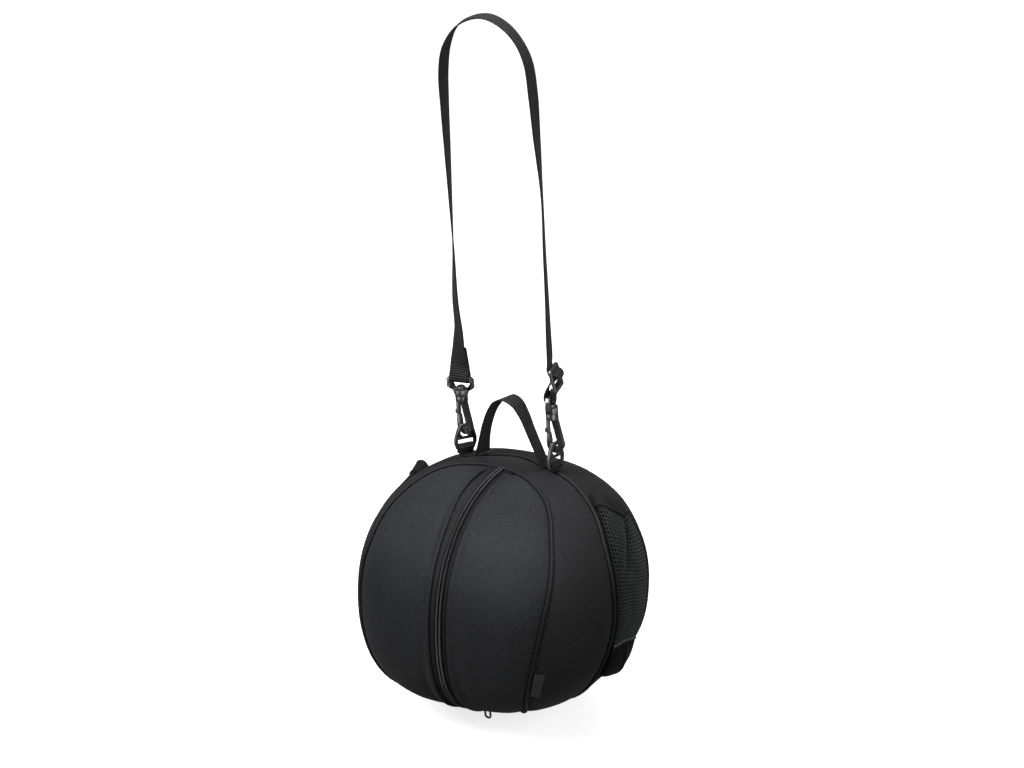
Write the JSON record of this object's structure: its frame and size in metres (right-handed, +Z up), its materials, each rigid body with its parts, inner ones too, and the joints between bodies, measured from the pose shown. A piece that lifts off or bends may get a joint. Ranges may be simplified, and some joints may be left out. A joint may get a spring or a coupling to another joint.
{
  "type": "ball bag",
  "caption": "Round black cloth ball bag with a curved front zip, mesh side pockets, a webbing handle and a long shoulder strap on plastic swivel hooks, hung by the strap.",
  "frame": {"origin": "underside of the top of the strap's arch, where the bag hangs", "axes": "+Z up along the hanging strap, -Y the way the zip faces, +X to the right of the bag seen from its zip side"},
  "size_m": [0.2851, 0.2688, 0.7125],
  "materials": {
    "polyester": "black 600 denier woven polyester, matt",
    "zip_tape": "black woven zip tape and nylon coil",
    "mesh": "black knitted polyester mesh",
    "webbing": "black ribbed polypropylene webbing",
    "moulded_plastic": "black injection moulded acetal, satin",
    "painted_metal": "black enamelled zinc",
    "label_cloth": "grey satin woven label, blank"
  },
  "bodies": {
    "root": {"panel_front_left": "polyester", "panel_front_right": "polyester", "panel_band": "polyester", "panel_back": "polyester", "piping_front": "polyester", "piping_back": "polyester", "pocket_base_left": "polyester", "pocket_base_right": "polyester", "pocket_hem_left": "polyester", "pocket_hem_right": "polyester", "zip_tape_left": "zip_tape", "zip_tape_right": "zip_tape", "zip_coil": "zip_tape", "pocket_mesh_left": "mesh", "pocket_mesh_right": "mesh", "strap": "webbing", "handle": "webbing", "tab_left": "webbing", "tab_right": "webbing", "ring_left": "moulded_plastic", "ring_right": "moulded_plastic", "loop_left": "moulded_plastic", "loop_right": "moulded_plastic", "adjuster": "moulded_plastic", "zip_slider": "painted_metal", "label": "label_cloth"},
    "hook_left": {"hook_left": "moulded_plastic"},
    "hook_right": {"hook_right": "moulded_plastic"},
    "gate_left": {"gate_left": "moulded_plastic"},
    "gate_right": {"gate_right": "moulded_plastic"},
    "zip_pull": {"zip_pull": "painted_metal"}
  },
  "joints": [
    {"name": "swivel_left", "type": "hinge", "parent": "root", "child": "hook_left", "pos_m": [-0.04318, 0.03121, -0.4249], "axis": [-0.0323, -0.0897, 0.9954], "range_deg": [-40, 0]},
    {"name": "swivel_right", "type": "hinge", "parent": "root", "child": "hook_right", "pos_m": [0.0568, 0.03094, -0.4249], "axis": [-0.0359, -0.0897, 0.9953], "range_deg": [-30, 4]},
    {"name": "gate_left", "type": "hinge", "parent": "hook_left", "child": "gate_left", "pos_m": [-0.04907, 0.02941, -0.39532], "axis": [-0.1729, -0.9805, -0.0939], "range_deg": [0, 14], "stiffness_Nm_per_rad": 0.02},
    {"name": "gate_right", "type": "hinge", "parent": "hook_right", "child": "gate_right", "pos_m": [0.05074, 0.02802, -0.39544], "axis": [0.0521, -0.9948, -0.0877], "range_deg": [0, 14], "stiffness_Nm_per_rad": 0.02},
    {"name": "zip_pull_swing", "type": "hinge", "parent": "root", "child": "zip_pull", "pos_m": [0.012, -0.02733, -0.69408], "axis": [1, 0, 0], "range_deg": [-77, 51]}
  ]
}
